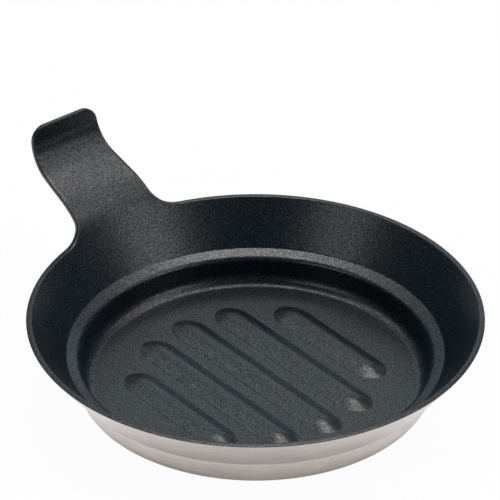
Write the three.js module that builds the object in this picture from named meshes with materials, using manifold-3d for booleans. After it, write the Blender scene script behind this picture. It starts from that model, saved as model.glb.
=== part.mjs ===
import * as THREE from 'three'
import { mergeVertices } from 'three/addons/utils/BufferGeometryUtils.js'
import Module from 'manifold-3d'

// One-portion pan pressed from one clad sheet, with a tongue of the same sheet as its handle.
// Millimetres. Origin on the dish axis at the underside, +Z up, handle towards +Y.

// Layers of the sheet, from the cooking face to the outside
const COATING_THICKNESS = 0.25
const CORE_THICKNESS = 1.2
const SKIN_THICKNESS = 0.5
const BOND_LINE = 0.05
const EDGE_BOND_LINE = 0.15

// Dish, measured on its cooking face except for the outer rim
const RIM_RADIUS = 90
const UPPER_WALL_HEIGHT = 16.3
const UPPER_WALL_SLOPE = THREE.MathUtils.degToRad(52)
const LEDGE_WIDTH = 4.6
const LEDGE_SLOPE = THREE.MathUtils.degToRad(15)
const WELL_DEPTH = 11.3
const WELL_LEAN = THREE.MathUtils.degToRad(8)
const FLOOR_FILLET = 3.8
const LEDGE_FILLET = 2
const LEDGE_CREASE = 0.95

// Ridges of the floor
const RIDGE_PITCH = 19.05
const RIDGE_WIDTH = 12.6
const RIDGE_HEIGHT = 2
const RIDGE_MARGIN = 15

// Handle, along its centre line and across it
const HANDLE_ROOT_WIDTH = 38.8
const HANDLE_TIP_WIDTH = 31.4
const HANDLE_ROOT_FILLET = 9
const HANDLE_TIP_CORNER = 7
const HANDLE_LEAD = 0.5
const HANDLE_OUT_RADIUS = 31
const HANDLE_MID_SLOPE = THREE.MathUtils.degToRad(20)
const HANDLE_MID_LENGTH = 11.5
const HANDLE_UP_RADIUS = 14
const HANDLE_TIP_SLOPE = THREE.MathUtils.degToRad(84)
const HANDLE_TIP_LENGTH = 6

// Facets
const HANDLE_COLUMNS = 10
const RIM_COLUMNS = 48
const FACET_TURN = THREE.MathUtils.degToRad(36)
const ROOT_STEPS = 4
const GRIP_STEPS = 9
const CORNER_STEPS = 3
const RIDGE_FACETS = 20
const RIDGE_END_FACETS = 5

// Depths of the layers below the cooking face
const CORE_TOP = COATING_THICKNESS + BOND_LINE
const CORE_BOTTOM = CORE_TOP + CORE_THICKNESS
const SKIN_TOP = CORE_BOTTOM + BOND_LINE
const SHEET = SKIN_TOP + SKIN_THICKNESS
const METAL_INSET = COATING_THICKNESS + EDGE_BOND_LINE

const FLOOR_HEIGHT = SHEET
const PAN_HEIGHT = FLOOR_HEIGHT + WELL_DEPTH + LEDGE_WIDTH * Math.tan(LEDGE_SLOPE) + UPPER_WALL_HEIGHT
const RIM_INSIDE = RIM_RADIUS - SHEET / Math.sin(UPPER_WALL_SLOPE)
const LEDGE_OUTSIDE = RIM_INSIDE - UPPER_WALL_HEIGHT / Math.tan(UPPER_WALL_SLOPE)
const LEDGE_INSIDE = LEDGE_OUTSIDE - LEDGE_WIDTH
const FLOOR_RADIUS = LEDGE_INSIDE - WELL_DEPTH * Math.tan(WELL_LEAN)
const LEDGE_ROUND = SHEET + LEDGE_CREASE

// The rim is cut level, so a deeper layer runs further up the slope before it meets the cut.
const levelCut = depth => depth / Math.tan(UPPER_WALL_SLOPE)
const HANDLE_STRAIGHT = levelCut(SHEET) + HANDLE_LEAD
const ROOT_HALF_ANGLE = Math.asin((HANDLE_ROOT_WIDTH / 2 + HANDLE_ROOT_FILLET) / RIM_INSIDE)

const wasm = await Module()
wasm.setup()

// Path through corners, with each inner corner rounded by its own radius.
function roundedPath(corners) {
  const points = corners.map(([x, y]) => new THREE.Vector2(x, y))
  const path = new THREE.CurvePath()
  let from = points[0]
  for (let i = 1; i < points.length - 1; i++) {
    const radius = corners[i][2]
    const back = points[i - 1].clone().sub(points[i]).normalize()
    const ahead = points[i + 1].clone().sub(points[i]).normalize()
    const halfAngle = back.angleTo(ahead) / 2
    const run = radius / Math.tan(halfAngle)
    const toCentre = back.clone().add(ahead).setLength(radius / Math.sin(halfAngle))
    const centre = points[i].clone().add(toCentre)
    const start = back.clone().setLength(run).sub(toCentre).angle()
    const end = ahead.clone().setLength(run).sub(toCentre).angle()
    const clockwise = back.cross(ahead) > 0
    path.add(new THREE.LineCurve(from, points[i].clone().addScaledVector(back, run)))
    path.add(new THREE.EllipseCurve(centre.x, centre.y, radius, radius, start, end, clockwise))
    from = points[i].clone().addScaledVector(ahead, run)
  }
  path.add(new THREE.LineCurve(from, points.at(-1)))
  return path
}

// Cooking face in section: floor, well, ledge, flared wall, then on along the handle to its tip.
function sectionPath() {
  const outTangent = HANDLE_OUT_RADIUS * Math.tan((UPPER_WALL_SLOPE - HANDLE_MID_SLOPE) / 2)
  const upTangent = HANDLE_UP_RADIUS * Math.tan((HANDLE_TIP_SLOPE - HANDLE_MID_SLOPE) / 2)
  const legs = [
    [HANDLE_STRAIGHT + outTangent, UPPER_WALL_SLOPE, HANDLE_OUT_RADIUS],
    [outTangent + HANDLE_MID_LENGTH + upTangent, HANDLE_MID_SLOPE, HANDLE_UP_RADIUS],
    [upTangent + HANDLE_TIP_LENGTH, HANDLE_TIP_SLOPE, 0]
  ]
  const wellTop = FLOOR_HEIGHT + WELL_DEPTH
  const corners = [
    [0, FLOOR_HEIGHT, 0],
    [FLOOR_RADIUS, FLOOR_HEIGHT, FLOOR_FILLET],
    [LEDGE_INSIDE, wellTop, LEDGE_ROUND],
    [LEDGE_OUTSIDE, wellTop + LEDGE_WIDTH * Math.tan(LEDGE_SLOPE), LEDGE_FILLET]
  ]
  let reach = RIM_INSIDE
  let rise = PAN_HEIGHT
  for (const [length, slope, radius] of legs) {
    reach += length * Math.cos(slope)
    rise += length * Math.sin(slope)
    corners.push([reach, rise, radius])
  }
  return roundedPath(corners)
}

const section = sectionPath()
const sectionLength = section.getLength()
const [FLOOR, FLOOR_BEND, WELL, LEDGE_BEND, LEDGE, WALL_BEND, WALL, , MIDDLE] =
  section.getCurveLengths()
const RIM = WALL - HANDLE_STRAIGHT
const HANDLE_LENGTH = sectionLength - RIM
const HANDLE_FLAT_FROM = MIDDLE - RIM

// Point of the section at a distance along it and a depth below the cooking face.
function sectionPoint(distance, depth) {
  const point = section.getPoint(distance / sectionLength)
  const tangent = section.getTangent(distance / sectionLength)
  return { radius: point.x + tangent.y * depth, height: point.y - tangent.x * depth }
}

// Distances of the dish's rings, from the edge of the flat floor to the foot of the flared wall.
function dishStations() {
  const stations = []
  for (const [from, to, radius] of [
    [FLOOR, FLOOR_BEND, FLOOR_FILLET],
    [WELL, LEDGE_BEND, LEDGE_ROUND],
    [LEDGE, WALL_BEND, LEDGE_FILLET]
  ]) {
    const steps = Math.ceil((to - from) / radius / FACET_TURN)
    for (let i = 0; i <= steps; i++) stations.push(from + (to - from) * i / steps)
  }
  return stations
}

// Half width of the handle's plain sides at a distance past the rim.
function sideHalfWidth(past) {
  return THREE.MathUtils.lerp(HANDLE_ROOT_WIDTH, HANDLE_TIP_WIDTH, past / HANDLE_LENGTH) / 2
}

// Rows of the handle past the rim: root fillet, straight sides, tip corners.
function handleRows(depth, inset, rimHalfWidth) {
  const rows = []
  const rimPast = levelCut(depth) - inset
  for (let i = 1; i <= ROOT_STEPS; i++) {
    const angle = Math.PI / 2 * i / ROOT_STEPS
    const past = HANDLE_ROOT_FILLET - (HANDLE_ROOT_FILLET - rimPast) * Math.cos(angle)
    const side = sideHalfWidth(past) - inset
    rows.push({ past, halfWidth: side + (rimHalfWidth - side) * (1 - Math.sin(angle)) })
  }
  const cornerStart = HANDLE_LENGTH - HANDLE_TIP_CORNER
  for (let i = 1; i <= GRIP_STEPS; i++) {
    const past = THREE.MathUtils.lerp(HANDLE_ROOT_FILLET, cornerStart, i / GRIP_STEPS)
    rows.push({ past, halfWidth: sideHalfWidth(past) - inset })
  }
  const corner = HANDLE_TIP_CORNER - inset
  for (let i = 1; i <= CORNER_STEPS; i++) {
    const angle = Math.PI / 2 * i / CORNER_STEPS
    const past = cornerStart + corner * Math.sin(angle)
    rows.push({ past, halfWidth: sideHalfWidth(past) - inset - corner * (1 - Math.cos(angle)) })
  }
  return rows
}

// Angles from +Y of the columns: first those that run up the handle, then the rest of the circle.
function columnAngles() {
  const angles = []
  for (let i = 0; i <= HANDLE_COLUMNS; i++) {
    angles.push(THREE.MathUtils.lerp(-ROOT_HALF_ANGLE, ROOT_HALF_ANGLE, i / HANDLE_COLUMNS))
  }
  const rest = 2 * (Math.PI - ROOT_HALF_ANGLE)
  for (let i = 1; i < RIM_COLUMNS; i++) angles.push(ROOT_HALF_ANGLE + rest * i / RIM_COLUMNS)
  return angles
}

const columns = columnAngles()
const handleAngles = columns.slice(0, HANDLE_COLUMNS + 1)

// One face of the pressed sheet as rings round the dish, then rows across the handle.
function sheetFace(depth, inset) {
  const rings = [...dishStations(), RIM + levelCut(depth) - inset].map(distance => {
    const { radius, height } = sectionPoint(distance, depth)
    return columns.map(a => [radius * Math.sin(a), radius * Math.cos(a), height])
  })
  const rimHalfWidth = rings.at(-1)[HANDLE_COLUMNS][0]
  for (const { past, halfWidth } of handleRows(depth, inset, rimHalfWidth)) {
    const { radius, height } = sectionPoint(RIM + past, depth)
    const roundness = 1 - THREE.MathUtils.smoothstep(past, HANDLE_STRAIGHT, HANDLE_FLAT_FROM)
    rings.push(handleAngles.map(a => {
      const x = halfWidth * Math.sin(a) / Math.sin(ROOT_HALF_ANGLE)
      const sag = radius - Math.sqrt(radius * radius - x * x)
      return [x, radius - roundness * sag, height]
    }))
  }
  return { centre: [0, 0, FLOOR_HEIGHT - depth], rings }
}

// Closed sheet between two depths, its cut edge drawn in by an inset.
function sheetSolid(top, bottom, inset) {
  const positions = []
  const index = []
  const faces = [top, bottom].map(depth => {
    const { centre, rings } = sheetFace(depth, inset)
    const hub = positions.push(centre) - 1
    return { hub, rings: rings.map(ring => ring.map(point => positions.push(point) - 1)) }
  })
  const quad = (a, b, c, d) => index.push(a, b, c, a, c, d)
  const ringCount = faces[0].rings.length
  const rimRing = dishStations().length
  faces.forEach(({ hub, rings }, side) => {
    const around = ring => ring.length === columns.length ? [...ring, ring[0]] : ring
    const first = around(rings[0])
    for (let c = 0; c < columns.length; c++) {
      index.push(hub, ...(side ? [first[c], first[c + 1]] : [first[c + 1], first[c]]))
    }
    for (let r = 0; r < ringCount - 1; r++) {
      const inner = around(rings[r])
      const outer = around(rings[r + 1])
      for (let c = 0; c < outer.length - 1; c++) {
        if (side) quad(inner[c], outer[c], outer[c + 1], inner[c + 1])
        else quad(inner[c], inner[c + 1], outer[c + 1], outer[c])
      }
    }
  })
  const [upper, lower] = faces.map(({ rings }) => edgeLoop(rings, rimRing))
  upper.forEach((point, i) => {
    const next = (i + 1) % upper.length
    quad(point, upper[next], lower[next], lower[i])
  })
  const geometry = new THREE.BufferGeometry()
  geometry.setAttribute('position', new THREE.Float32BufferAttribute(positions.flat(), 3))
  geometry.setIndex(index)
  return solid(geometry)
}

// Vertices along the cut edge: round the rim, up one side of the handle, over the tip and down again.
function edgeLoop(rings, rimRing) {
  const past = rings.slice(rimRing + 1)
  const tip = past.at(-1)
  const rim = [...rings[rimRing].slice(HANDLE_COLUMNS), rings[rimRing][0]]
  const up = past.slice(0, -1).map(row => row[0])
  const down = past.slice(0, -1).map(row => row[HANDLE_COLUMNS]).reverse()
  return [...rim, ...up, ...tip, ...down]
}

// Closed solid from a geometry, without the empty triangles at its poles.
function solid(geometry) {
  const bare = new THREE.BufferGeometry()
  bare.setAttribute('position', geometry.getAttribute('position'))
  bare.setIndex(geometry.getIndex())
  const merged = mergeVertices(bare)
  const corners = merged.getIndex().array
  const triVerts = []
  for (let i = 0; i < corners.length; i += 3) {
    const [a, b, c] = corners.slice(i, i + 3)
    if (a !== b && b !== c && c !== a) triVerts.push(a, b, c)
  }
  const vertProperties = merged.getAttribute('position').array
  const mesh = new wasm.Mesh({ numProp: 3, vertProperties, triVerts: new Uint32Array(triVerts) })
  return new wasm.Manifold(mesh)
}

// Round bars whose crowns lie a given depth below the crowns of the ridges.
function ridgeBars(depth) {
  const halfWidth = RIDGE_WIDTH / 2
  const crownRadius = (halfWidth * halfWidth + RIDGE_HEIGHT * RIDGE_HEIGHT) / (2 * RIDGE_HEIGHT)
  const axisHeight = FLOOR_HEIGHT + RIDGE_HEIGHT - crownRadius
  const field = FLOOR - RIDGE_MARGIN
  const eachSide = Math.floor((field - halfWidth) / RIDGE_PITCH)
  const bars = []
  for (let i = -eachSide; i <= eachSide; i++) {
    const x = i * RIDGE_PITCH
    const axisLength = 2 * (Math.sqrt(field * field - x * x) - halfWidth)
    const bar = new THREE.CapsuleGeometry(crownRadius - depth, axisLength, RIDGE_END_FACETS, RIDGE_FACETS)
    bars.push(solid(bar.translate(x, 0, axisHeight)))
  }
  return bars
}

// Sheet with the ridges raised on its upper face.
function raisedSheet(top, bottom, inset) {
  const span = 2 * RIM_RADIUS
  const above = new THREE.BoxGeometry(span, span, span)
  const keep = solid(above.translate(0, 0, FLOOR_HEIGHT - (top + bottom) / 2 + span / 2))
  return ridgeBars(top).reduce((sheet, bar) => sheet.add(bar.intersect(keep)), sheetSolid(top, bottom, inset))
}

// Sheet with the ridges raised above and hollow below.
function pressedSheet(top, bottom, inset) {
  return ridgeBars(bottom).reduce((sheet, bar) => sheet.subtract(bar), raisedSheet(top, bottom, inset))
}

// Coating over the cooking face and round the cut edge of the metal.
function coatingSolid() {
  const past = SHEET + LEDGE_CREASE / 2
  return pressedSheet(0, SHEET, 0).subtract(raisedSheet(COATING_THICKNESS, past, COATING_THICKNESS))
}

// Named mesh of a solid.
function piece(name, shape, material) {
  const { vertProperties, triVerts } = shape.getMesh()
  const geometry = new THREE.BufferGeometry()
  geometry.setAttribute('position', new THREE.BufferAttribute(vertProperties, 3))
  geometry.setIndex(new THREE.BufferAttribute(triVerts, 1))
  geometry.computeVertexNormals()
  const mesh = new THREE.Mesh(geometry, material)
  mesh.name = name
  return mesh
}

const brushedSteel = new THREE.MeshStandardMaterial({ color: 0xb8b5ae, roughness: 0.36, metalness: 1 })
const aluminium = new THREE.MeshStandardMaterial({ color: 0xc6c8ca, roughness: 0.45, metalness: 1 })
const nonstick = new THREE.MeshStandardMaterial({ color: 0x2a2c2e, roughness: 0.55, metalness: 0 })

const pan = new THREE.Group()
pan.name = 'oyakodon_pan'
pan.add(
  piece('nonstick_coating', coatingSolid(), nonstick),
  piece('aluminium_core', pressedSheet(CORE_TOP, CORE_BOTTOM, METAL_INSET), aluminium),
  piece('steel_outer_skin', pressedSheet(SKIN_TOP, SHEET, METAL_INSET), brushedSteel)
)

export default pan
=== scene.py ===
"""Looks of a small stepped pan with a ridged floor and a tongue handle, over its solid model."""

from __future__ import annotations

import logging
import math
from collections.abc import Mapping, Sequence
from dataclasses import dataclass, field
from enum import Enum

import bmesh
import bpy
from mathutils import Matrix, Quaternion, Vector


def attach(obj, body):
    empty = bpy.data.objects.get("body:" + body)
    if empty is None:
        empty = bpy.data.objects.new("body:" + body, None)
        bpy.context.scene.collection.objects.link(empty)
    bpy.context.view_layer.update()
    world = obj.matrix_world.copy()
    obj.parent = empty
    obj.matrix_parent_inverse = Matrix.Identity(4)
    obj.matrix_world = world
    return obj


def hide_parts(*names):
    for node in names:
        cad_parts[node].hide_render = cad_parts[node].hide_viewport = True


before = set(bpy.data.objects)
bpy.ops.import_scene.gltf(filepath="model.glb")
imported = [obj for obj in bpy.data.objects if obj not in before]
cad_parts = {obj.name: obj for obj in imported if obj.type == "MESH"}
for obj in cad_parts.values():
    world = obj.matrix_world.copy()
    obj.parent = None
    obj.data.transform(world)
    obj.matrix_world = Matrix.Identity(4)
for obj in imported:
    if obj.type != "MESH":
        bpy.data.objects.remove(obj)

MM = 0.001
WELD = 1e-6
QUARTER_TURN = math.pi / 2
NOISE_MIDDLE = 0.5
log = logging.getLogger("pan")


class Layer(Enum):
    """Layers of the clad sheet: the solid that each stands for, and the short name its piece is named
    after.
    """

    COATING = ("nonstick_coating", "nonstick")
    CORE = ("aluminium_core", "core")
    SKIN = ("steel_outer_skin", "steel")

    @property
    def node(self) -> str:
        """Name of the layer's solid."""
        return self.value[0]

    @property
    def slot(self) -> str:
        """Short name of the layer, which its piece is named after."""
        return self.value[1]


class Value:
    """A value in a node tree that plain arithmetic can be written with."""

    def __init__(self, graph: Graph, socket: bpy.types.NodeSocket) -> None:
        """Wraps one output socket of the graph."""
        self.graph = graph
        self.socket = socket

    def _math(self, operation: str, *terms: Value | float) -> Value:
        """Adds one Math node.

        Args:
            operation: the node's operation.
            terms: its values, in order.

        Returns:
            The node's result.
        """
        return self.graph.add("ShaderNodeMath", {"operation": operation}, dict(enumerate(terms)))

    def __add__(self, other: Value | float) -> Value:
        """Sum."""
        return self._math("ADD", self, other)

    def __radd__(self, other: float) -> Value:
        """Sum with a number on the left."""
        return self._math("ADD", other, self)

    def __sub__(self, other: Value | float) -> Value:
        """Difference."""
        return self._math("SUBTRACT", self, other)

    def __rsub__(self, other: float) -> Value:
        """Difference from a number on the left."""
        return self._math("SUBTRACT", other, self)

    def __mul__(self, other: Value | float) -> Value:
        """Product."""
        return self._math("MULTIPLY", self, other)

    def __rmul__(self, other: float) -> Value:
        """Product with a number on the left."""
        return self._math("MULTIPLY", other, self)

    def __truediv__(self, other: Value | float) -> Value:
        """Quotient."""
        return self._math("DIVIDE", self, other)

    def __rtruediv__(self, other: float) -> Value:
        """Quotient of a number on the left."""
        return self._math("DIVIDE", other, self)

    def __or__(self, other: Value) -> Value:
        """The larger of two values."""
        return self._math("MAXIMUM", self, other)

    def __and__(self, other: Value) -> Value:
        """The smaller of two values."""
        return self._math("MINIMUM", self, other)


class Graph:
    """A node tree that is written as expressions."""

    def __init__(self, tree: bpy.types.NodeTree) -> None:
        """Starts from an empty tree."""
        self.tree = tree
        tree.nodes.clear()

    def add(
        self,
        kind: str,
        settings: Mapping[str, object] | None = None,
        sockets: Mapping[str | int, object] | None = None,
        output: str | int = 0,
    ) -> Value:
        """Adds one node.

        Args:
            kind: the node's type.
            settings: its properties.
            sockets: values or links of its inputs, by name, identifier or number.
            output: the output to hand on, by name, identifier or number.

        Returns:
            The chosen output.
        """
        node = self.tree.nodes.new(kind)
        for name, value in (settings or {}).items():
            setattr(node, name, value)
        for name, value in (sockets or {}).items():
            target = self._find(node.inputs, name)
            if isinstance(value, Value):
                self.tree.links.new(value.socket, target)
            else:
                target.default_value = value
        found = self._find(node.outputs, output) if len(node.outputs) else None
        return Value(self, found)

    @staticmethod
    def _find(sockets: Sequence[bpy.types.NodeSocket], key: str | int) -> bpy.types.NodeSocket:
        """Finds a socket of a node.

        Args:
            sockets: the node's inputs or outputs.
            key: the socket's number, identifier or name.

        Returns:
            The socket.
        """
        if isinstance(key, int):
            return sockets[key]
        return next(s for s in sockets if key in (s.identifier, s.name))

    def noise(self, vector: Value, scale: float, detail: float = 2, roughness: float = 0.5) -> Value:
        """Adds a noise texture.

        Args:
            vector: where it is read.
            scale: its features per metre.
            detail: octaves.
            roughness: weight of the finer octaves.

        Returns:
            The noise, from 0 to 1.
        """
        sockets = {"Vector": vector, "Scale": scale, "Detail": detail, "Roughness": roughness}
        return self.add("ShaderNodeTexNoise", {"noise_dimensions": "3D"}, sockets, "Fac")

    def ramp(
        self,
        value: Value,
        low: float,
        high: float,
        at_low: float = 0,
        at_high: float = 1,
    ) -> Value:
        """Maps a value smoothly from one range to another.

        Args:
            value: what is mapped.
            low: start of its range.
            high: end of its range.
            at_low: result at the start.
            at_high: result at the end.

        Returns:
            The mapped value.
        """
        sockets = {
            "Value": value,
            "From Min": low,
            "From Max": high,
            "To Min": at_low,
            "To Max": at_high,
        }
        return self.add("ShaderNodeMapRange", {"interpolation_type": "SMOOTHSTEP"}, sockets)

    def blend(self, factor: Value, low: Sequence[float], high: Sequence[float]) -> Value:
        """Mixes two colours.

        Args:
            factor: share of the second colour.
            low: the first colour.
            high: the second colour.

        Returns:
            The mixed colour.
        """
        sockets = {"Factor_Float": factor, "A_Color": (*low, 1), "B_Color": (*high, 1)}
        return self.add("ShaderNodeMix", {"data_type": "RGBA"}, sockets, "Result_Color")

    def bump(self, height: Value, strength: float, distance: float) -> Value:
        """Adds a bump.

        Args:
            height: the relief, from 0 to 1.
            strength: share of it that shows.
            distance: its depth in metres.

        Returns:
            The bumped normal.
        """
        sockets = {"Strength": strength, "Distance": distance, "Height": height}
        return self.add("ShaderNodeBump", None, sockets)

    def surface(self, sockets: Mapping[str, object]) -> None:
        """Ends the tree in a principled surface.

        Args:
            sockets: values or links of the surface's inputs.
        """
        shader = self.add("ShaderNodeBsdfPrincipled", None, sockets)
        self.add("ShaderNodeOutputMaterial", None, {"Surface": shader})


def new_graph(name: str) -> tuple[bpy.types.Material, Graph]:
    """Makes a material.

    Args:
        name: the material's name.

    Returns:
        The material and its empty graph.
    """
    material = bpy.data.materials.new(name)
    material.use_nodes = True
    return material, Graph(material.node_tree)


@dataclass(frozen=True)
class NonstickFinish:
    """Matt black coating: sprayed, fine grained, with a scatter of glossier grains."""

    body: tuple[float, float, float] = (0.0015, 0.0036, 0.0056)
    grain: tuple[float, float, float] = (0.0045, 0.0108, 0.0156)
    grain_size: float = 0.65 * MM
    grain_octaves: float = 1
    grain_fineness: float = 0.6
    speck_from: float = 0.35
    speck_to: float = 0.68
    cloud_grains: float = 30
    roughness: float = 0.33
    roughness_spread: float = 0.06
    relief: float = 0.045 * MM
    relief_share: float = 1.0
    body_ior: float = 1.33
    grain_ior: float = 1.46

    def material(self) -> bpy.types.Material:
        """Makes the coating's material.

        Returns:
            The material.
        """
        material, graph = new_graph("matt_nonstick")
        place = graph.add("ShaderNodeTexCoord", output="Object")
        grain = graph.noise(place, 1 / self.grain_size, self.grain_octaves, self.grain_fineness)
        cloud = graph.noise(place, 1 / (self.cloud_grains * self.grain_size))
        speck = graph.ramp(grain, self.speck_from, self.speck_to)
        graph.surface({
            "Base Color": graph.blend(speck, self.body, self.grain),
            "Roughness": (cloud - NOISE_MIDDLE) * self.roughness_spread + self.roughness,
            "IOR": self.body_ior,
            "Coat Weight": speck,
            "Coat Roughness": self.roughness,
            "Coat IOR": self.grain_ior,
            "Normal": graph.bump(grain, self.relief_share, self.relief),
        })
        return material


@dataclass(frozen=True)
class SatinSteelFinish:
    """Bare satin steel with fine brush lines that run round the dish."""

    dark: tuple[float, float, float] = (0.57, 0.515, 0.475)
    light: tuple[float, float, float] = (0.76, 0.7, 0.655)
    line_pitch: float = 0.35 * MM
    line_length: float = 0.12
    line_octaves: float = 2
    line_fineness: float = 0.6
    rise_weight: float = 1.7
    broad_lines: float = 6
    clouds_per_metre: float = 60
    fine_share: float = 0.55
    broad_share: float = 0.25
    cloud_share: float = 0.2
    tone_from: float = 0.3
    tone_to: float = 0.7
    roughness: float = 0.36
    roughness_spread: float = 0.12
    relief: float = 0.006 * MM
    relief_share: float = 0.7

    def material(self) -> bpy.types.Material:
        """Makes the steel's material.

        Returns:
            The material.
        """
        material, graph = new_graph("satin_steel")
        place = graph.add("ShaderNodeTexCoord", output="Object")
        fine = self.brushing(graph, place, self.line_pitch)
        broad = self.brushing(graph, place, self.broad_lines * self.line_pitch)
        cloud = graph.noise(place, self.clouds_per_metre)
        tone = fine * self.fine_share + broad * self.broad_share + cloud * self.cloud_share
        shade = graph.ramp(tone, self.tone_from, self.tone_to)
        graph.surface({
            "Base Color": graph.blend(shade, self.dark, self.light),
            "Metallic": 1.0,
            "Roughness": (tone - NOISE_MIDDLE) * self.roughness_spread + self.roughness,
            "Normal": graph.bump(fine, self.relief_share, self.relief),
        })
        return material

    def brushing(self, graph: Graph, place: Value, pitch: float) -> Value:
        """Noise drawn out round the dish's axis.

        Args:
            graph: the material's graph.
            place: the point on the pan.
            pitch: distance between brush lines.

        Returns:
            The lines, from 0 to 1.
        """
        flat = graph.add("ShaderNodeVectorMath", {"operation": "MULTIPLY"}, {0: place, 1: (1, 1, 0)})
        reach = graph.add("ShaderNodeVectorMath", {"operation": "LENGTH"}, {0: flat}, "Value")
        round_axis = graph.add("ShaderNodeVectorMath", {"operation": "NORMALIZE"}, {0: flat})
        drawn = {0: round_axis, "Scale": 1 / self.line_length}
        spread = graph.add("ShaderNodeVectorMath", {"operation": "SCALE"}, drawn)
        height = graph.add("ShaderNodeSeparateXYZ", None, {0: place}, "Z")
        count = (reach + height * self.rise_weight) / pitch
        across = graph.add("ShaderNodeCombineXYZ", None, {"Z": count})
        vector = graph.add("ShaderNodeVectorMath", {"operation": "ADD"}, {0: spread, 1: across})
        return graph.noise(vector, 1, self.line_octaves, self.line_fineness)


@dataclass(frozen=True)
class MillFinish:
    """Plain rolled aluminium of the layer between skin and coating."""

    dark: tuple[float, float, float] = (0.54, 0.55, 0.56)
    light: tuple[float, float, float] = (0.64, 0.65, 0.66)
    streaks_per_metre: float = 2200
    streak_draw: float = 0.05
    roughness: float = 0.42
    roughness_spread: float = 0.1
    relief: float = 0.004 * MM
    relief_share: float = 0.4

    def material(self) -> bpy.types.Material:
        """Makes the core's material.

        Returns:
            The material.
        """
        material, graph = new_graph("rolled_aluminium")
        place = graph.add("ShaderNodeTexCoord", output="Object")
        along = {"Vector": place, "Scale": (1, self.streak_draw, 1)}
        rolled = graph.add("ShaderNodeMapping", None, along)
        streak = graph.noise(rolled, self.streaks_per_metre)
        graph.surface({
            "Base Color": graph.blend(streak, self.dark, self.light),
            "Metallic": 1.0,
            "Roughness": (streak - NOISE_MIDDLE) * self.roughness_spread + self.roughness,
            "Normal": graph.bump(streak, self.relief_share, self.relief),
        })
        return material


class SectionPen:
    """Draws a section as a wire in the plane through the pan's axis, in lines and bends."""

    MARGIN = 0.35 * MM
    LONG_RUN = 4 * MARGIN

    def __init__(self, bm: bmesh.types.BMesh, reach: float, height: float, bend_steps: int) -> None:
        """Starts at a point, heading straight out.

        Args:
            bm: the mesh that takes the wire.
            reach: the start's distance from the axis.
            height: the start's height.
            bend_steps: facets of each bend.
        """
        self.bm = bm
        self.tip = bm.verts.new((reach, 0, height))
        self.heading = 0.0
        self.bend_steps = bend_steps
        self.wire = [self.tip]

    def line(self, length: float) -> None:
        """Draws a straight run; a long one has short ends that keep it flat next to a bend.

        Args:
            length: the run's length.
        """
        runs = [length]
        if length > self.LONG_RUN:
            runs = [self.MARGIN, length - 2 * self.MARGIN, self.MARGIN]
        for run in runs:
            self.tip = bmesh.ops.extrude_vert_indiv(self.bm, verts=[self.tip])["verts"][0]
            step = Vector((math.cos(self.heading), 0, math.sin(self.heading))) * run
            bmesh.ops.translate(self.bm, verts=[self.tip], vec=step)
            self.wire.append(self.tip)

    def drop(self, height: float) -> None:
        """Steps straight down.

        Args:
            height: the step's height, 0 for none.
        """
        if height:
            self.heading -= QUARTER_TURN
            self.line(height)
            self.heading += QUARTER_TURN

    def bend(self, radius: float, turn: float) -> None:
        """Draws a bend.

        Args:
            radius: its radius.
            turn: the angle it turns, upwards if positive.
        """
        side = Vector((-math.sin(self.heading), 0, math.cos(self.heading)))
        centre = self.tip.co + side * math.copysign(radius, turn)
        for _ in range(self.bend_steps):
            self.tip = bmesh.ops.extrude_vert_indiv(self.bm, verts=[self.tip])["verts"][0]
            swing = Matrix.Rotation(-turn / self.bend_steps, 3, "Y")
            bmesh.ops.rotate(self.bm, verts=[self.tip], cent=centre, matrix=swing)
            self.wire.append(self.tip)
        self.heading += turn

    def edges(self) -> list[bmesh.types.BMEdge]:
        """Collects what the wire is drawn with.

        Returns:
            The wire's edges.
        """
        own = set(self.wire)
        return [e for e in self.bm.edges if own.issuperset(e.verts)]


def draw_out(bm: bmesh.types.BMesh, edges: list[bmesh.types.BMEdge]) -> list[bmesh.types.BMEdge]:
    """Extrudes edges.

    Args:
        bm: the mesh.
        edges: the edges that are drawn out.

    Returns:
        The new edges, which still lie on the old.
    """
    made = bmesh.ops.extrude_edge_only(bm, edges=edges)["geom"]
    fresh = {g for g in made if isinstance(g, bmesh.types.BMVert)}
    return [g for g in made if isinstance(g, bmesh.types.BMEdge) and fresh.issuperset(g.verts)]


def join(bm: bmesh.types.BMesh, other: bmesh.types.BMesh) -> None:
    """Adds a second mesh to the first.

    Args:
        bm: the mesh that takes it.
        other: the second mesh, which is freed.
    """
    mesh = bpy.data.meshes.new("joined")
    other.to_mesh(mesh)
    other.free()
    bm.from_mesh(mesh)
    bpy.data.meshes.remove(mesh)


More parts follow.
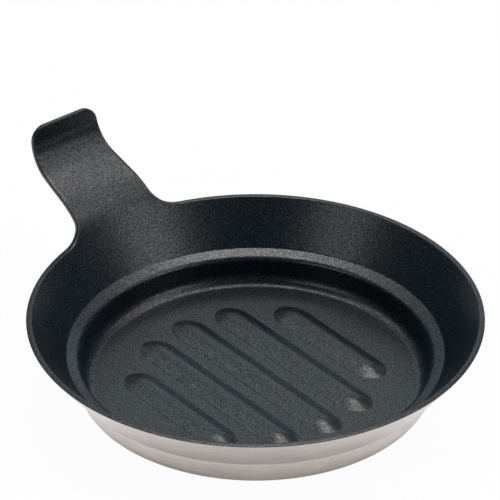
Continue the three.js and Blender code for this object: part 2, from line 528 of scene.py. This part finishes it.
@dataclass
class PressedSheet:
    """The pan's one sheet: stepped dish, ridged floor, and the tongue handle drawn out of the rim."""

    thickness: float = 2.05 * MM
    rim_radius: float = 90.2 * MM
    wall_height: float = 16.55 * MM
    wall_slope: float = math.radians(52)
    rim_fall: float = math.radians(7)
    ledge_width: float = 5.6 * MM
    ledge_slope: float = math.radians(16.5)
    ledge_fillet: float = 1.2 * MM
    ledge_round: float = 2.4 * MM
    well_depth: float = 10.874 * MM
    well_lean: float = math.radians(3.5)
    floor_fillet: float = 5 * MM
    foot_round: float = 3.5 * MM
    least_bend: float = 1.2 * MM
    ridge_pitch: float = 19.05 * MM
    ridge_width: float = 13.6 * MM
    ridge_height: float = 2 * MM
    ridge_margin: float = 18.8 * MM
    ridge_foot: float = 0.3 * MM
    ridge_flank: float = math.radians(22)
    ridge_riser: float = 0.1 * MM
    ridge_draw: float = 1.4
    root_width: float = 38.8 * MM
    tip_width: float = 31.4 * MM
    root_fillet: float = 9 * MM
    tip_corner: float = 6.2 * MM
    handle_lead: float = 0.5 * MM
    out_radius: float = 31 * MM
    mid_slope: float = math.radians(20)
    mid_length: float = 11.5 * MM
    up_radius: float = 14 * MM
    tip_slope: float = math.radians(84)
    tip_length: float = 5.4 * MM
    handle_columns: int = 14
    rim_columns: int = 114
    bend_steps: int = 10
    root_steps: int = 12
    grip_steps: int = 30
    corner_steps: int = 8
    ridge_end_steps: int = 28
    height: float = field(init=False)
    rim_inside: float = field(init=False)
    floor_radius: float = field(init=False)
    upright: float = field(init=False)
    root_half_angle: float = field(init=False)
    straight: float = field(init=False)
    legs: list[tuple[float, float]] = field(init=False)
    handle_length: float = field(init=False)
    flat_from: float = field(init=False)

    def __post_init__(self) -> None:
        """Works out the forms that follow from the sizes."""
        ledge_rise = self.ledge_width * math.tan(self.ledge_slope)
        self.height = self.thickness + self.well_depth + ledge_rise + self.wall_height
        self.rim_inside = self.rim_radius - self.thickness / math.sin(self.wall_slope)
        ledge_outside = self.rim_inside - self.wall_height / math.tan(self.wall_slope)
        ledge_inside = ledge_outside - self.ledge_width
        self.floor_radius = ledge_inside - self.well_depth * math.tan(self.well_lean)
        self.upright = QUARTER_TURN - self.well_lean
        self.root_half_angle = math.asin((self.root_width / 2 + self.root_fillet) / self.rim_inside)
        self.straight = self.thickness / math.tan(self.wall_slope) + self.handle_lead
        out_turn = self.mid_slope - self.wall_slope
        up_turn = self.tip_slope - self.mid_slope
        self.legs = [
            (self.straight, 0),
            (self.out_radius * -out_turn, out_turn),
            (self.mid_length, 0),
            (self.up_radius * up_turn, up_turn),
            (self.tip_length, 0),
        ]
        self.handle_length = sum(length for length, _ in self.legs)
        self.flat_from = sum(length for length, _ in self.legs[:3])

    def rim_cut(self, depth: float) -> float:
        """Finds where the rim is cut, level but for a slight fall to the outside.

        Args:
            depth: depth below the cooking face.

        Returns:
            How much further up the slope that depth meets the cut.
        """
        middle = self.thickness / 2
        at_middle = middle / math.tan(self.wall_slope)
        return at_middle + (depth - middle) / math.tan(self.wall_slope + self.rim_fall)

    def past_rim(self, past: float, depth: float) -> tuple[float, float]:
        """Follows the section past the rim.

        Args:
            past: distance from the rim along the cooking face.
            depth: depth below the cooking face.

        Returns:
            Distance from the axis, and height.
        """
        point = Vector((self.rim_inside, self.height))
        heading = self.wall_slope
        left = past
        for length, turn in self.legs:
            run = min(left, length)
            if turn:
                radius = length / turn
                turned = heading + run / radius
                along = math.sin(turned) - math.sin(heading)
                rise = math.cos(heading) - math.cos(turned)
                point += radius * Vector((along, rise))
                heading = turned
            else:
                point += run * Vector((math.cos(heading), math.sin(heading)))
            left -= run
            if left <= 0:
                break
        return point.x + math.sin(heading) * depth, point.y - math.cos(heading) * depth

    def side(self, past: float) -> float:
        """Follows the handle's plain sides, which taper to the tip.

        Args:
            past: distance from the rim along the cooking face.

        Returns:
            The handle's half width there.
        """
        share = past / self.handle_length
        return (self.root_width + (self.tip_width - self.root_width) * share) / 2

    def row(self, number: int, depth: float, inset: float) -> tuple[float, float]:
        """Finds one row across the handle.

        Args:
            number: the row, counted from the rim.
            depth: depth below the cooking face.
            inset: how far the cut edge is drawn in.

        Returns:
            Distance past the rim, and half width.
        """
        corner_from = self.handle_length - self.tip_corner
        if number <= self.root_steps:
            angle = QUARTER_TURN * number / self.root_steps
            rim_past = self.rim_cut(depth) - inset
            past = self.root_fillet - (self.root_fillet - rim_past) * math.cos(angle)
            edge = self.side(past) - inset
            rim_half = self.past_rim(rim_past, depth)[0] * math.sin(self.root_half_angle)
            return past, edge + (rim_half - edge) * (1 - math.sin(angle))
        number -= self.root_steps
        if number <= self.grip_steps:
            past = self.root_fillet + (corner_from - self.root_fillet) * number / self.grip_steps
            return past, self.side(past) - inset
        number -= self.grip_steps
        angle = QUARTER_TURN * number / self.corner_steps
        corner = self.tip_corner - inset
        past = corner_from + corner * math.sin(angle)
        return past, self.side(past) - inset - corner * (1 - math.cos(angle))

    def place(self, number: int, angle: float, depth: float, inset: float) -> Vector:
        """Finds a point of the rim or of the handle.

        Args:
            number: the row, 0 for the rim.
            angle: the column's angle from the handle's centre line.
            depth: depth below the cooking face.
            inset: how far the cut edge is drawn in.

        Returns:
            The point.
        """
        if number == 0:
            reach, height = self.past_rim(self.rim_cut(depth) - inset, depth)
            return Vector((reach * math.sin(angle), reach * math.cos(angle), height))
        past, half = self.row(number, depth, inset)
        reach, height = self.past_rim(past, depth)
        share = min(max((past - self.straight) / (self.flat_from - self.straight), 0), 1)
        roundness = 1 - share * share * (3 - 2 * share)
        x = half * math.sin(angle) / math.sin(self.root_half_angle)
        sag = reach - math.sqrt(reach * reach - x * x)
        return Vector((x, reach - roundness * sag, height))

    def lathe(self, bm: bmesh.types.BMesh, depth: float, inset: float) -> None:
        """Turns the dish's section half round the axis, from the flat floor's edge to the rim.

        Args:
            bm: the mesh that takes it.
            depth: depth below the cooking face.
            inset: how far the rim is drawn in.
        """
        turns = [self.upright, self.ledge_slope - self.upright, self.wall_slope - self.ledge_slope]
        bends = [self.floor_fillet, self.ledge_round, self.ledge_fillet]
        spans = [
            self.well_depth / math.cos(self.well_lean),
            self.ledge_width / math.cos(self.ledge_slope),
            self.wall_height / math.sin(self.wall_slope),
        ]
        shares = [math.tan(abs(turn) / 2) for turn in turns]
        even = [bend + math.copysign(depth, turn) for bend, turn in zip(bends, turns)]
        foot = self.floor_fillet + (self.foot_round - self.floor_fillet) * depth / self.thickness
        radii = [foot, *(max(radius, self.least_bend) for radius in even[1:])]
        # A bend that isn't even with the cooking face's takes up more or less of its runs.
        tangents = [
            bend * share + (radius - plain) * share
            for bend, radius, plain, share in zip(bends, radii, even, shares)
        ]
        ends = [*tangents[1:], inset - self.rim_cut(depth)]
        flat = self.floor_radius - tangents[0]
        pen = SectionPen(bm, flat - 2 * SectionPen.MARGIN, self.thickness - depth, self.bend_steps)
        pen.line(2 * SectionPen.MARGIN)
        for turn, radius, tangent, span, end in zip(turns, radii, tangents, spans, ends):
            pen.bend(radius, turn)
            pen.line(span - tangent - end)
        to_handle = Matrix.Rotation(QUARTER_TURN, 3, "Z")
        bmesh.ops.rotate(bm, verts=pen.wire, cent=(0, 0, 0), matrix=to_handle)
        wire = [*pen.wire, *pen.edges()]
        arcs = [
            (self.root_half_angle, self.handle_columns),
            (math.pi - self.root_half_angle, self.rim_columns),
        ]
        for angle, steps in arcs:
            wire = bmesh.ops.spin(
                bm, geom=wire, cent=(0, 0, 0), axis=(0, 0, -1), angle=angle, steps=steps,
            )["geom_last"]

    def lay_half(self, depth: float, inset: float) -> bmesh.types.BMesh:
        """Lays half of one face of the sheet, without its floor.

        Args:
            depth: depth below the cooking face.
            inset: how far the cut edge is drawn in.

        Returns:
            The half face; the rows and bearings of its cut edge are kept as layers.
        """
        bm = bmesh.new()
        row = bm.verts.layers.int.new("row")
        bearing = bm.verts.layers.float.new("bearing")
        self.lathe(bm, depth, inset)
        rim_level = self.past_rim(self.rim_cut(depth) - inset, depth)[1]
        rim = [v for v in bm.verts if abs(v.co.z - rim_level) < WELD]
        for vert in rim:
            vert[bearing] = math.atan2(vert.co.x, vert.co.y)
        arc = {v for v in rim if v[bearing] < self.root_half_angle + WELD}
        strip = [e for e in bm.edges if arc.issuperset(e.verts)]
        for number in range(1, self.root_steps + self.grip_steps + self.corner_steps + 1):
            strip = draw_out(bm, strip)
            for vert in {v for e in strip for v in e.verts}:
                vert[row] = number
                vert.co = self.place(number, vert[bearing], depth, inset)
        return bm

    def cut_edge(self, bm: bmesh.types.BMesh) -> list[bmesh.types.BMEdge]:
        """Finds the cut edge of a half face.

        Args:
            bm: the half face.

        Returns:
            The edges along the rim and the handle's outline.
        """
        seam = {v for v in bm.verts if abs(v.co.x) < WELD}
        bare = [e for e in bm.edges if e.is_boundary and not seam.issuperset(e.verts)]
        return [e for e in bare if e.verts[0].co.xy.length > self.floor_radius]

    def ridges(self, depth: float) -> bmesh.types.BMesh:
        """Builds the ridges of one face.

        Args:
            depth: depth below the cooking face.

        Returns:
            The ridges, open at their feet.
        """
        bm = bmesh.new()
        field_radius = self.floor_radius - self.ridge_margin
        each_side = math.floor((field_radius - self.ridge_width / 2) / self.ridge_pitch)
        for i in range(-each_side, each_side + 1):
            x = i * self.ridge_pitch
            self.ridge(bm, x, math.sqrt(field_radius**2 - x**2), depth)
        bmesh.ops.remove_doubles(bm, verts=bm.verts[:], dist=WELD)
        return bm

    def ridge_section(self, rise: float) -> tuple[float, float]:
        """Works out the half section of a ridge: round crown, straight flank, round foot.

        Args:
            rise: height from foot to crest.

        Returns:
            Radius of crown and foot together, and length of the flank.
        """
        sin, cos = math.sin(self.ridge_flank), math.cos(self.ridge_flank)
        half = self.ridge_width / 2
        bends = (half * sin - rise * cos) / (1 - cos)
        return bends, (half - bends * sin) / cos

    def ridge(self, bm: bmesh.types.BMesh, x: float, reach: float, depth: float) -> None:
        """Sweeps one ridge's half section round its long outline, with drawn-out round ends.

        Args:
            bm: the mesh that takes it.
            x: the ridge's centre line.
            reach: from its middle to the tips of its ends.
            depth: depth below the cooking face.
        """
        half_length = reach - self.ridge_draw * self.ridge_width / 2
        # Only the cooking face steps down at a ridge's foot; the faces below it run smooth.
        riser = 0 if depth else self.ridge_riser
        bends, flank = self.ridge_section(self.ridge_height - riser)
        pen = SectionPen(bm, 0, self.thickness + self.ridge_height - depth, self.bend_steps)
        pen.bend(bends - self.ridge_foot - depth, -self.ridge_flank)
        pen.line(flank)
        pen.bend(self.ridge_foot + depth, self.ridge_flank)
        pen.drop(riser)
        pen.line(SectionPen.MARGIN)
        bmesh.ops.translate(bm, verts=pen.wire, vec=(x, half_length, 0))
        wire = [*pen.wire, *pen.edges()]
        for end in (half_length, -half_length):
            known = set(bm.verts)
            last = bmesh.ops.spin(
                bm, geom=wire, cent=(x, end, 0), axis=(0, 0, 1),
                angle=math.pi, steps=self.ridge_end_steps,
            )["geom_last"]
            cap = [v for v in bm.verts if v not in known]
            from_end = Matrix.Translation((0, -end, 0))
            bmesh.ops.scale(bm, vec=(1, self.ridge_draw, 1), space=from_end, verts=cap)
            side = draw_out(bm, [g for g in last if isinstance(g, bmesh.types.BMEdge)])
            verts = list({v for e in side for v in e.verts})
            bmesh.ops.translate(bm, verts=verts, vec=(0, -2 * end, 0))
            wire = [*verts, *side]

    def fill_floor(self, bm: bmesh.types.BMesh, depth: float) -> None:
        """Fills the flat floor of one face round its ridges.

        Args:
            bm: the sheet with its ridges.
            depth: depth below the cooking face.
        """
        floor = self.thickness - depth
        bare = [e for e in bm.edges if e.is_boundary and abs(e.verts[0].co.z - floor) < WELD]
        bmesh.ops.triangle_fill(bm, edges=bare, use_beauty=True, normal=(0, 0, 1))

    def body(self, name: str, edge: Sequence[tuple[float, float]]) -> bpy.types.Object:
        """Builds a closed layer of the sheet.

        Args:
            name: the piece's name.
            edge: the layer's cut edge as pairs of depth and inset, from its upper face to its lower.

        Returns:
            The layer as an object at the origin.
        """
        bm = self.lay_half(*edge[0])
        row = bm.verts.layers.int["row"]
        bearing = bm.verts.layers.float["bearing"]
        loop = self.cut_edge(bm)
        for depth, inset in edge[1:]:
            loop = draw_out(bm, loop)
            for vert in {v for e in loop for v in e.verts}:
                vert.co = self.place(vert[row], vert[bearing], depth, inset)
        join(bm, self.lay_half(*edge[-1]))
        bmesh.ops.remove_doubles(bm, verts=bm.verts[:], dist=WELD)
        half = [*bm.verts, *bm.edges, *bm.faces]
        bmesh.ops.mirror(bm, geom=half, matrix=Matrix.Identity(4), merge_dist=WELD, axis="X")
        for depth, _ in (edge[0], edge[-1]):
            join(bm, self.ridges(depth))
            self.fill_floor(bm, depth)
        bmesh.ops.recalc_face_normals(bm, faces=bm.faces[:])
        for face in bm.faces:
            face.smooth = True
        mesh = bpy.data.meshes.new(name)
        bm.to_mesh(mesh)
        bm.free()
        piece = bpy.data.objects.new(name, mesh)
        bpy.context.scene.collection.objects.link(piece)
        return piece


@dataclass
class CladPan:
    """The pan as its three bonded layers."""

    sheet: PressedSheet = field(default_factory=PressedSheet)
    coating: float = 0.25 * MM
    skin: float = 0.5 * MM
    bond: float = 0.05 * MM
    inner_round: float = 0.45 * MM
    outer_round: float = 0.38 * MM
    round_steps: int = 5
    lip_angle: float = math.radians(15)
    lip_step: float = 0.7

    def rounding(self, radius: float, start: float, end: float) -> list[tuple[float, float]]:
        """Quarter round of the cut edge.

        Args:
            radius: its radius.
            start: angle it starts at, 0 on the cooking face and a right angle on the cut.
            end: angle it ends at.

        Returns:
            Pairs of depth and inset, measured from the sharp corner.
        """
        angles = [start + (end - start) * i / self.round_steps for i in range(self.round_steps + 1)]
        return [(radius * (1 - math.cos(a)), radius * (1 - math.sin(a))) for a in angles]

    def outer_rounding(self, start: float, end: float) -> list[tuple[float, float]]:
        """Quarter round of the sheet's outer corner.

        Args:
            start: angle it starts at, 0 on the outer face and a right angle on the cut.
            end: angle it ends at.

        Returns:
            Pairs of depth and inset.
        """
        corner = self.rounding(self.outer_round, start, end)
        return [(self.sheet.thickness - below, inset) for below, inset in corner]

    def coating_edge(self) -> list[tuple[float, float]]:
        """Traces the coating's edge: over the rounded cut to the outer corner, and back inside.

        Returns:
            Pairs of depth and inset.
        """
        upper = self.rounding(self.inner_round, 0, QUARTER_TURN)
        lower = self.outer_rounding(QUARTER_TURN, self.lip_angle)
        depth, inset = lower[-1]
        step = self.coating * self.lip_step
        back = [(depth - step, inset + step), (self.inner_round, self.coating)]
        return [*upper, *lower, *back, (self.coating, self.inner_round)]

    def core_edge(self) -> list[tuple[float, float]]:
        """Traces the core's edge: square, and well inside the coating's.

        Returns:
            Pairs of depth and inset.
        """
        inset = self.inner_round + self.outer_round
        lower = self.sheet.thickness - self.skin - self.bond
        return [(self.coating + self.bond, inset), (lower, inset)]

    def skin_edge(self) -> list[tuple[float, float]]:
        """Traces the skin's edge: from its hidden face out to the coating's lip, then round the corner.

        Returns:
            Pairs of depth and inset.
        """
        corner = self.outer_rounding(self.lip_angle, 0)
        hidden = (self.sheet.thickness - self.skin, corner[0][1] + self.skin)
        return [hidden, *corner]

    def build(self) -> None:
        """Builds and dresses the three layers."""
        layers = {
            Layer.COATING: (self.coating_edge(), NonstickFinish()),
            Layer.CORE: (self.core_edge(), MillFinish()),
            Layer.SKIN: (self.skin_edge(), SatinSteelFinish()),
        }
        for layer, (edge, finish) in layers.items():
            piece = self.sheet.body(f"pan_{layer.slot}", edge)
            self.dress(piece, layer, finish.material())

    @staticmethod
    def dress(piece: bpy.types.Object, layer: Layer, material: bpy.types.Material) -> None:
        """Gives a layer its finish and its place on the frame.

        Args:
            piece: the layer's object.
            layer: which layer it is.
            material: its finish.
        """
        piece.data.materials.append(material)
        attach(piece, "root")
        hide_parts(layer.node)
        log.info("%s: %d faces", piece.name, len(piece.data.polygons))


@dataclass(frozen=True)
class Softbox:
    """One soft light, turned to the pan; its angles are in degrees."""

    name: str
    bearing: float
    elevation: float
    width: float
    height: float
    brightness: float
    colour: tuple[float, float, float] = (1, 1, 1)
    roll: float = 0.0
    distance: float = 1.6

    def hang(self, behind: float) -> None:
        """Hangs the light.

        Args:
            behind: azimuth of the far side, from which the bearing counts to the right.
        """
        lamp = bpy.data.lights.new(self.name, "AREA")
        lamp.shape = "RECTANGLE"
        lamp.size, lamp.size_y = self.width, self.height
        lamp.energy = self.brightness * math.pi * self.width * self.height
        lamp.color = self.colour
        holder = bpy.data.objects.new(self.name, lamp)
        azimuth = behind - math.radians(self.bearing)
        elevation = math.radians(self.elevation)
        level = math.cos(elevation)
        aim = Vector((-math.sin(azimuth) * level, math.cos(azimuth) * level, math.sin(elevation)))
        holder.location = aim * self.distance
        holder.rotation_mode = "QUATERNION"
        rolled = Quaternion((0, 0, 1), math.radians(self.roll))
        holder.rotation_quaternion = aim.to_track_quat("Z", "Y") @ rolled
        bpy.context.scene.collection.objects.link(holder)


@dataclass
class Studio:
    """Pale floor, pale sweep that rises behind, and soft lights above."""

    behind: float = math.radians(-39)
    floor_size: float = 6.0
    floor_tone: float = 0.95
    floor_glow: float = 0.96
    # Painted shadow round the foot, seen only in gloss and glass: its offset towards and away from the
    # camera, its fade, and its depth.
    shadow_ahead: float = 17 * MM
    shadow_from: float = 56.5 * MM
    shadow_to: float = 72 * MM
    shadow_glow: float = 0.14
    room: float = 0.11
    room_colour: tuple[float, float, float] = (0.82, 0.98, 1.12)
    sweep_tilt: float = 0.05
    sweep_fade: float = 0.08
    lights: tuple[Softbox, ...] = (
        Softbox("overhead", 3, 66, 0.68, 0.6, 7.8, (1, 0.97, 0.97), roll=30),
        Softbox("right_back", 74, 56, 1.0, 0.75, 2.5, (1, 0.98, 1)),
        Softbox("left_back", -54, 52, 0.9, 0.6, 2.0, (0.86, 0.97, 1)),
        Softbox("backdrop", 4, 28, 0.9, 0.5, 1.1, (0.86, 0.97, 1)),
        Softbox("ridge_fill", -13, 43, 0.5, 0.28, 0.65, (0.95, 0.97, 1)),
        Softbox("right_front", 117, 36, 0.7, 0.6, 3.5, (0.95, 0.97, 1)),
        Softbox("left_front", -128, 38, 0.7, 0.6, 2.4, (0.95, 0.97, 1)),
    )

    def build(self) -> None:
        """Builds the floor, the world and the lights."""
        self.floor()
        self.world()
        for light in self.lights:
            light.hang(self.behind)

    def glow(self, graph: Graph) -> Value:
        """Works out where the floor shows as plain white.

        Args:
            graph: the floor's graph.

        Returns:
            The white's share: even for the camera, fading into a painted shadow round the foot in gloss
            and glass.
        """
        camera, glossy, through = (
            graph.add("ShaderNodeLightPath", output=f"Is {kind} Ray")
            for kind in ("Camera", "Glossy", "Transmission")
        )
        place = graph.add("ShaderNodeTexCoord", output="Object")
        # Painted shadow: what gloss and glass show of the floor's white fades near the pan's foot,
        # drawn out towards the camera and away from it.
        ahead = Vector((math.sin(self.behind), -math.cos(self.behind), 0)) * self.shadow_ahead
        apart = {"operation": "DISTANCE"}
        front, back = (
            graph.add("ShaderNodeVectorMath", apart, {0: place, 1: centre}, "Value")
            for centre in (ahead, -ahead)
        )
        painted_shadow = graph.ramp(front & back, self.shadow_from, self.shadow_to, self.shadow_glow, 1)
        return camera * self.floor_glow | (glossy | through) * painted_shadow

    def floor(self) -> None:
        """Lays the pale floor."""
        bm = bmesh.new()
        bmesh.ops.create_grid(bm, x_segments=2, y_segments=2, size=self.floor_size / 2)
        mesh = bpy.data.meshes.new("floor")
        bm.to_mesh(mesh)
        bm.free()
        floor = bpy.data.objects.new("floor", mesh)
        bpy.context.scene.collection.objects.link(floor)
        material, graph = new_graph("pale_floor")
        tone = (self.floor_tone, self.floor_tone, self.floor_tone, 1)
        matt = graph.add("ShaderNodeBsdfDiffuse", None, {"Color": tone})
        white = graph.add("ShaderNodeEmission", None, {"Color": (1, 1, 1, 1)})
        both = graph.add("ShaderNodeMixShader", None, {0: self.glow(graph), 1: matt, 2: white})
        graph.add("ShaderNodeOutputMaterial", None, {"Surface": both})
        mesh.materials.append(material)

    def world(self) -> None:
        """Makes the surroundings: a pale sweep, low in front, higher behind, and a dim room above."""
        world = bpy.data.worlds.new("room")
        bpy.context.scene.world = world
        world.use_nodes = True
        graph = Graph(world.node_tree)
        direction = graph.add("ShaderNodeTexCoord", output="Generated")
        lean = (math.sin(self.behind) * self.sweep_tilt, -math.cos(self.behind) * self.sweep_tilt, 1)
        along = {"operation": "DOT_PRODUCT"}
        rise = graph.add("ShaderNodeVectorMath", along, {0: direction, 1: lean}, "Value")
        sweep = graph.ramp(rise, 0, self.sweep_fade, 1, self.room)
        seen = graph.add("ShaderNodeLightPath", output="Is Camera Ray")
        colour = graph.blend(seen, self.room_colour, (1, 1, 1))
        light = graph.add("ShaderNodeBackground", None, {"Color": colour, "Strength": sweep | seen})
        graph.add("ShaderNodeOutputWorld", None, {"Surface": light})


@dataclass
class PhotoCamera:
    """The camera, at the photograph's distance and angle."""

    lens: float = 324.0
    sensor: float = 36.0
    azimuth: float = math.radians(-39)
    elevation: float = math.radians(32.6)
    distance: float = 1764 * MM
    aside: float = -2.16 * MM
    above: float = 25.605 * MM
    target_height: float = 30.88 * MM
    clip_start: float = 0.05
    clip_end: float = 50.0

    def build(self) -> None:
        """Sets up the scene's camera."""
        ahead, aside = math.cos(self.azimuth), math.sin(self.azimuth)
        level = math.cos(self.elevation)
        back = Vector((aside * level, -ahead * level, math.sin(self.elevation)))
        right = Vector((ahead, aside, 0))
        up = back.cross(right)
        data = bpy.data.cameras.new("camera")
        data.lens = self.lens
        data.sensor_width = self.sensor
        data.clip_start = self.clip_start
        data.clip_end = self.clip_end
        camera = bpy.data.objects.new("camera", data)
        camera.rotation_mode = "QUATERNION"
        camera.rotation_quaternion = Matrix((right, up, back)).transposed().to_quaternion()
        target = Vector((0, 0, self.target_height))
        camera.location = target + right * self.aside + up * self.above + back * self.distance
        bpy.context.scene.collection.objects.link(camera)
        bpy.context.scene.camera = camera


def main() -> None:
    """Builds the pan, the studio and the camera."""
    logging.basicConfig(level=logging.INFO, format="%(name)s: %(message)s")
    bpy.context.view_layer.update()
    CladPan().build()
    Studio().build()
    PhotoCamera().build()
    bpy.context.scene.view_settings.view_transform = "Standard"
    log.info("pan, studio and camera are in place")


if __name__ == "__main__":
    main()
